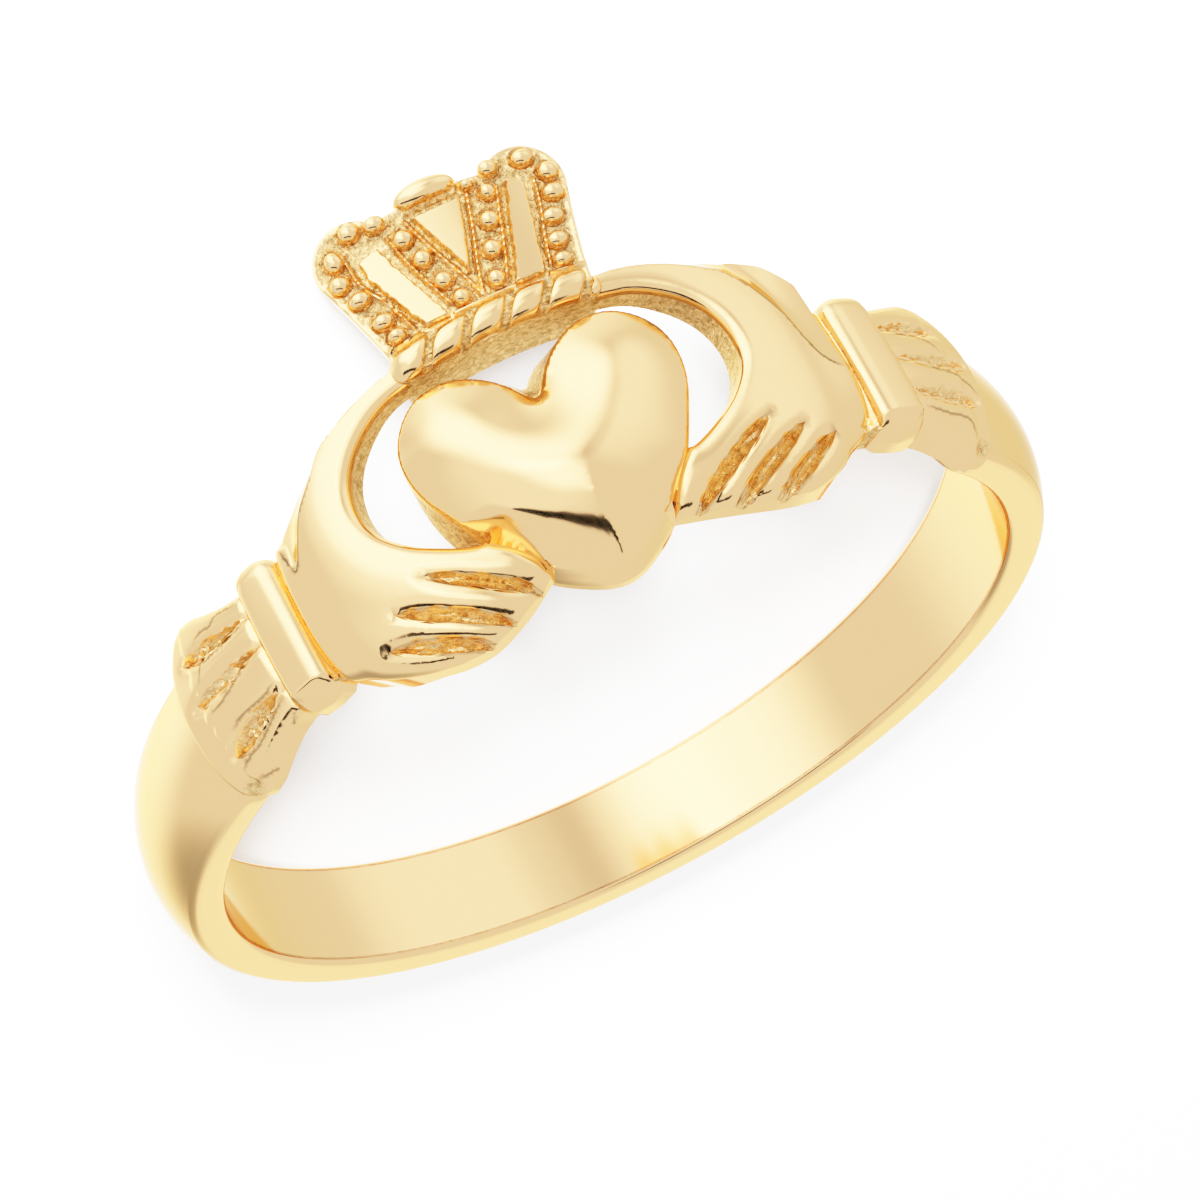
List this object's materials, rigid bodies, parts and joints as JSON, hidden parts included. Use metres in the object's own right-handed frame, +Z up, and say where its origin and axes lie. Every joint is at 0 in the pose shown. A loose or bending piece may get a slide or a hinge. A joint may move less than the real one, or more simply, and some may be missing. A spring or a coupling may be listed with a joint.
{
  "type": "claddagh ring",
  "caption": "Gold finger ring lying on its side: two hands with cuffs hold a puffed heart under a beaded crown, on a half-round band.",
  "frame": {"origin": "middle of the footprint, on the surface that the ring lies on", "axes": "+Z up; the head with hands, heart and crown faces -Y, crown down; X runs across the head from cuff to cuff"},
  "size_m": [0.0196, 0.021, 0.0086],
  "materials": {
    "gold": "polished yellow gold, matt in the recesses"
  },
  "bodies": {
    "root": {"ring": "gold"}
  },
  "joints": []
}
